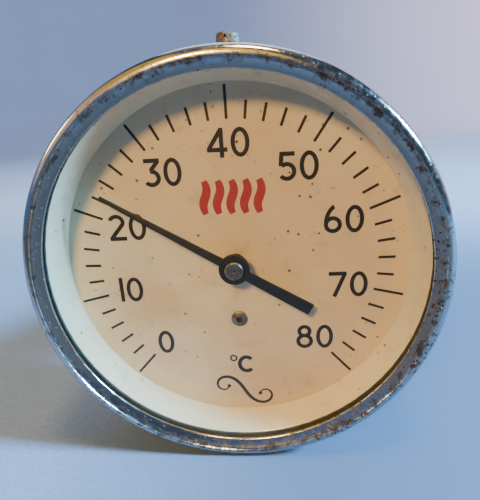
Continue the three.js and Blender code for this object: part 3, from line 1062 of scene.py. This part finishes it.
def makeBoss():
    s = bossSizes
    top, back = frontOf("pointer_boss"), rearOf("pointer_boss")
    rim, cover = top - s["rise"] + 0.1, top - s["cover"]
    outline = [(0, top - s["dimple"]), (0.12, top - s["dimple"]), (s["dimple"], top)]
    outline += [(s["radius"] - s["chamfer"] - 0.25, top), (s["radius"] - s["chamfer"], top - 0.04)]
    outline += [(s["radius"], top - s["chamfer"]), (s["radius"], rim), (s["barrel"], rim)]
    outline += [(s["barrel"], back), (s["bore"], back), (s["bore"], cover), (0, cover)]
    boss = turnPiece("pointerBoss", outline, 96)
    easeEdges(boss, 0.05, 2, 30)
    standUp(boss, nickel, needle, ["pointer_boss"])


makePointer()
makeBoss()
print("pointer made")


# A hexagon whose corners are turned off at both ends, with a plain bore.
def hexagonNut(name, acrossFlats, bore, back, front):
    corner = acrossFlats / 2 / math.cos(math.pi / 6)
    fall = (corner - acrossFlats / 2) * math.tan(math.radians(30)) + 0.15
    inset = acrossFlats / 2 - 0.25
    outline = [(bore + 0.4, back), (inset, back), (corner + 0.1, back + fall)]
    outline += [(corner + 0.1, front - fall), (inset, front)]
    outline += [(bore + 0.4, front), (bore, front - 0.4), (bore, back + 0.4)]
    turned = turnPiece("turnedBlank", outline)
    dropSelection()
    height = (front - back + 2) * mm
    middle = (0, 0, (front + back) / 2 * mm)
    bpy.ops.mesh.primitive_cylinder_add(vertices=6, radius=corner * mm, depth=height, location=middle)
    nutPiece = bpy.context.object
    nutPiece.name = name
    moved(nutPiece, (0, 0, (front + back) / 2), (0, 0, 30))
    combine(nutPiece, turned, "INTERSECT")
    return nutPiece


threadSizes = {
    "radius": 10.48,
    "depth": 1.16,
    "pitch": 1.814,
    "length": 14,
    "undercut": 1.5,
    "run": 0.9,
    "steps": 96,
}


# A thread cut as one outline swept round while it climbs a pitch, trimmed flat at both ends.
def makeThread(back):
    s = threadSizes
    crest, pitch = s["radius"], s["pitch"]
    rootRadius = crest - s["depth"]
    flat = pitch * 0.14
    outline = []
    for i in range(math.ceil(s["length"] / pitch) + 2):
        start = back - pitch * 1.5 + i * pitch
        outline += [(rootRadius, start), (rootRadius, start + flat)]
        outline += [(crest, start + pitch / 2 - flat / 2), (crest, start + pitch / 2 + flat)]
    threadPiece = startChain([(r, 0, z) for r, z in outline])
    bpy.ops.object.mode_set(mode="OBJECT")
    turn = {"axis": "Z", "angle": 2 * math.pi, "screw_offset": pitch * mm}
    turn.update({"steps": s["steps"], "render_steps": s["steps"]})
    merge = {"use_merge_vertices": True, "merge_threshold": 0.002 * mm}
    applyModifier(threadPiece, "SCREW", **turn, **merge)
    for height, clearAbove in ((back, False), (back + s["length"], True)):
        editAll(threadPiece)
        cut = {"plane_co": (0, 0, height * mm), "plane_no": (0, 0, 1)}
        bpy.ops.mesh.bisect(use_fill=True, clear_outer=clearAbove, clear_inner=not clearAbove, **cut)
    editAll(threadPiece)
    bpy.ops.mesh.remove_doubles(threshold=0.002 * mm)
    bpy.ops.mesh.normals_make_consistent(inside=False)
    bpy.ops.object.mode_set(mode="OBJECT")
    return threadPiece


glandSizes = {"acrossFlats": 24, "bore": 6.5, "hexHeight": 9, "reliefStart": 12}


def makeGlandNut():
    s, t = glandSizes, threadSizes
    back, front = rearOf("gland_nut"), frontOf("gland_nut")
    hexBack = front - s["hexHeight"]
    nutPiece = hexagonNut("glandNut", s["acrossFlats"], s["bore"], hexBack, front)
    rootRadius, outer = t["radius"] - t["depth"], t["radius"] + 0.1
    threadEnd = hexBack - t["undercut"]
    lead = [(s["bore"], back + 0.3), (s["bore"] + 0.3, back), (rootRadius, back)]
    lead += [(outer, back + t["run"]), (outer, threadEnd - t["run"]), (rootRadius, threadEnd)]
    lead += [(rootRadius, hexBack + 0.5), (s["bore"], hexBack + 0.5)]
    sleeve = turnPiece("sleeve", lead)
    low, high = back + s["reliefStart"], hexBack + 1
    neck = turnPiece("relief", [(0, low), (rootRadius, low), (rootRadius, high), (0, high)])
    threadPiece = makeThread(back)
    combine(threadPiece, neck, "UNION")
    combine(threadPiece, sleeve, "INTERSECT")
    combine(nutPiece, threadPiece, "UNION")
    easeEdges(nutPiece, 0.12, 2, 50)
    standUp(nutPiece, brass, nut, ["gland_nut"])


lockSizes = {"acrossFlats": 27, "bore": 9.15}


def makeLockNut():
    s = lockSizes
    back, front = rearOf("case_lock_nut"), frontOf("case_lock_nut")
    lock = hexagonNut("caseLockNut", s["acrossFlats"], s["bore"], back, front)
    easeEdges(lock, 0.12, 2, 50)
    standUp(lock, brass, root, ["case_lock_nut"])


def makeWasher():
    back, front = rearOf("case_washer"), frontOf("case_washer")
    radius, bore = radiusOf("case_washer"), lockSizes["bore"]
    outline = [(bore, back), (radius, back), (radius, front), (bore, front)]
    washer = turnPiece("caseWasher", outline)
    easeEdges(washer, 0.15, 2)
    standUp(washer, fibre, root, ["case_washer"])


headSizes = {
    "socket": 5.1,
    "neck": 6.2,
    "shank": 9,
    "flange": 18,
    "flangeThickness": 3,
    "spigot": 5.5,
    "spigotHeight": 7,
    "bearing": 3.1,
    "bearingLength": 6.1,
    "bore": 2.5,
    "tubeEnd": 9.3,
}


def makeStemHead():
    s = headSizes
    back, front = rearOf("stem_head"), frontOf("stem_head")
    flangeTop = front - s["spigotHeight"]
    flangeBase = flangeTop - s["flangeThickness"]
    neckTop = rearOf("case_lock_nut")
    bearingBase = front - s["bearingLength"]
    outline = [(s["socket"], back), (s["neck"] - 0.2, back), (s["neck"], back + 0.2)]
    outline += [(s["neck"], neckTop - 1), (s["shank"], neckTop), (s["shank"], flangeBase)]
    outline += [(s["flange"], flangeBase), (s["flange"], flangeTop)]
    outline += [(s["spigot"], flangeTop), (s["spigot"], front), (s["bearing"], front)]
    outline += [(s["bearing"], bearingBase), (s["bore"], bearingBase)]
    outline += [(s["bore"], s["tubeEnd"]), (s["socket"], s["tubeEnd"])]
    head = turnPiece("stemHead", outline, 96)
    easeEdges(head, 0.1, 2)
    standUp(head, brass, root, ["stem_head"])


collarSizes = {"tube": 5.1, "outside": 8.2, "neck": 6.3, "lip": 1.2}


def makeCollar():
    s = collarSizes
    back, front = rearOf("seat_collar"), frontOf("seat_collar")
    outline = [(s["tube"], back), (s["outside"], back), (s["outside"], front), (s["neck"], front)]
    outline += [(s["neck"], back + s["lip"]), (s["tube"], back + s["lip"])]
    collar = turnPiece("seatCollar", outline)
    easeEdges(collar, 0.25, 3)
    standUp(collar, brass, root, ["seat_collar"])


stemSizes = {"radius": 5, "bore": 4.3, "nose": 1.2}


def makeStem():
    s = stemSizes
    back, front = rearOf("stem_tube"), frontOf("stem_tube")
    wall = [(s["bore"], back), (s["radius"], back), (s["radius"], front), (s["bore"], front)]
    tube = turnPiece("stemTube", wall, 96)
    easeEdges(tube, 0.06, 2)
    standUp(tube, brass, root, ["stem_tube"])
    tip, inner = rearOf("stem_end_plug"), frontOf("stem_end_plug")
    seat = back - 0.1
    outline = [(0, tip)] + arcPoints((s["radius"] - s["nose"], tip + s["nose"]), s["nose"], -90, 0, 10)
    outline += [(s["radius"], seat), (s["bore"] - 0.1, seat), (s["bore"] - 0.1, inner), (0, inner)]
    plug = turnPiece("stemEndPlug", outline, 96)
    standUp(plug, brass, root, ["stem_end_plug"])


makeGlandNut()
makeLockNut()
makeWasher()
makeStemHead()
makeCollar()
makeStem()
print("stem and union made")


# Pieces inside the case and the stem keep the shapes that were loaded.
innerFinishes = {
    "glass_gasket": rubber,
    "bezel_screw_bush": brass,
    "carrier_plate": brass,
    "pillar_1": brass,
    "pillar_2": brass,
    "pillar_3": brass,
    "plate_screw_1": brightSteel,
    "plate_screw_2": brightSteel,
    "plate_screw_3": brightSteel,
    "spindle": brightSteel,
    "thrust_collar": brass,
    "helix_hub": brass,
    "helix_anchor": brass,
    "lower_bearing": brass,
    "upper_bearing": brass,
    "bimetal_helix": bimetal,
}

for node, material in innerFinishes.items():
    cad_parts[node].data.materials.clear()
    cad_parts[node].data.materials.append(material)
print("inner pieces finished")


stageSizes = {"radius": 1900, "cove": 700, "wall": 900, "rings": (60, 300, 900)}
floorLook = {
    "pale": (0.17, 0.265, 0.43),
    "shade": (0.135, 0.22, 0.38),
    # deep: the colour of the painted shadow towards the front right, and also of the cloth's grain
    "deep": (0.06, 0.10, 0.18),
    # dark: painted shade on the floor just in front of the object
    "dark": (0.02, 0.026, 0.038),
    "grain": 1.1,
}
# glow: colours of the floor's emission, painted light that makes the cloth and the cove glow
glow = {
    "ahead": (0.035, 0.04, 0.055),
    "beside": (0.36, 0.46, 0.62),
    "dusk": (0.15, 0.14, 0.17),
    "dawn": (1.15, 1.0, 1.3),
}


def makeStage():
    s = stageSizes
    floorLevel = cadBox[0][2] / mm
    profile = [(radius, floorLevel) for radius in (0, *s["rings"])]
    profile += arcPoints((s["radius"] - s["cove"], floorLevel + s["cove"]), s["cove"], -90, 0, 16)
    profile += [(s["radius"], floorLevel + s["cove"] + s["wall"])]
    stage = startChain([(r, 0, z) for r, z in profile])
    bpy.ops.mesh.select_all(action="SELECT")
    bpy.ops.mesh.spin(steps=96, angle=2 * math.pi, center=(0, 0, 0), axis=(0, 0, 1))
    bpy.ops.mesh.select_all(action="SELECT")
    bpy.ops.mesh.remove_doubles(threshold=0.01 * mm)
    bpy.ops.mesh.normals_make_consistent(inside=True)
    bpy.ops.object.mode_set(mode="OBJECT")
    stage.name = "floor"
    smooth(stage, 60)
    stage.data.materials.append(softBacking())


# Pale cloth with painted light and shade: its emission is a painted glow, soft far behind and beside
# the object; a painted shadow darkens it towards the front right, and painted shade makes it dark just
# in front of the object.
def softBacking():
    finish = Finish("softBacking")
    across, depth, _ = [axis / mm for axis in finish.coordinates()]
    colour = finish.mixed(finish.noise(160, 2, 0.5), floorLook["pale"], floorLook["shade"])
    # painted shadow: the floor turns darker and bluer towards the front right of the object
    deep = finish.step(across, -75, 25) * (1 - finish.step(depth, 30, 260))
    colour = finish.mixed(deep, colour, floorLook["deep"])
    grain = finish.noise(floorLook["grain"], 3, 0.7)
    colour = finish.mixed(finish.step(grain, 0.3, 0.75) * 0.34, colour, floorLook["deep"])
    distance = (across * across + depth * depth) ** 0.5
    # painted shade: the floor just in front of the object is made dark, so the chrome and glass reflect
    # darkness there
    paintedShadeAhead = finish.step(depth, -95, -200) * (1 - finish.step(distance, 400, 1200))
    colour = finish.mixed(paintedShadeAhead, colour, floorLook["dark"])
    far = finish.step(distance, 300, 1500)
    beside = finish.mixed(finish.step(depth, 30, 350), (0, 0, 0), glow["beside"])
    sky = finish.mixed(finish.step(across, -300, 1300), glow["dusk"], glow["dawn"])
    around = finish.mixed(finish.step(depth, -300, 1400), glow["ahead"], sky)
    return finish.surface(
        {
            "Base Color": colour,
            "Roughness": 0.9,
            "Normal": finish.bump(grain, 0.15, 0.4),
            # painted light: the floor's emission glows behind, beside and ahead of the object
            "Emission Color": finish.mixed(far, beside, around),
            "Emission Strength": 1.0,
        }
    )


lights = {
    "keyLight": {
        "from": (-22, 37.6),
        "far": 900,
        "size": 170,
        "power": 10,
        "colour": (1.0, 0.55, 0.09),
    },
    "topGraze": {
        "from": (5, 80),
        "far": 900,
        "size": 200,
        "power": 7,
        "colour": (1.0, 0.6, 0.2),
    },
    "windowLight": {
        "from": (62, 82),
        "far": 900,
        "size": 170,
        "power": 66,
        "colour": (0.26, 0.64, 1.0),
    },
    "goldCard": {
        "from": (-50, 74),
        "far": 700,
        "size": 800,
        "power": 1.6,
        "colour": (1.0, 0.55, 0.02),
        "shine": True,
    },
    "streakCard": {
        "from": (-64, 90),
        "far": 700,
        "size": 170,
        "power": 1.0,
        "colour": (1.0, 0.82, 0.4),
        "shine": True,
    },
    "warmCard": {
        "from": (-16, 40),
        "far": 800,
        "size": 640,
        "power": 1.6,
        "colour": (1.0, 0.57, 0.04),
        "shine": True,
    },
    "skyCard": {
        "from": (0, 100),
        "far": 1000,
        "size": 900,
        "power": 0.45,
        "colour": (0.7, 0.84, 1.0),
    },
    "backFill": {
        "from": (0, 130),
        "far": 1100,
        "size": 900,
        "power": 4,
        "colour": (0.8, 0.9, 1.0),
    },
}


# Each light stands round the dial: so many degrees clockwise of twelve o'clock, and so many off the
# dial's normal. A card that only shines is seen in reflections and lights nothing else.
def makeLights():
    heart = Vector((0, -dialFace * mm, 0))
    for name, s in lights.items():
        around, off = [math.radians(a) for a in s["from"]]
        side = math.sin(off)
        way = Vector((math.sin(around) * side, -math.cos(off), math.cos(around) * side))
        dropSelection()
        bpy.ops.object.light_add(type="AREA", location=heart + way * s["far"] * mm)
        light = bpy.context.object
        light.name = name
        light.data.shape = "DISK"
        light.data.size = s["size"] * mm
        light.data.energy = s["power"]
        light.data.color = s["colour"]
        light.rotation_euler = way.to_track_quat("Z", "Y").to_euler()
        light.visible_camera = False
        light.visible_diffuse = not s.get("shine", False)


worldLook = {"colour": (0.4, 0.62, 1.0), "strength": 0.14}


def makeWorld():
    world = bpy.data.worlds.new("studio")
    bpy.context.scene.world = world
    world.use_nodes = True
    background = world.node_tree.nodes["Background"]
    background.inputs["Color"].default_value = (*worldLook["colour"], 1)
    background.inputs["Strength"].default_value = worldLook["strength"]


makeStage()
makeLights()
makeWorld()
print("floor and light set")
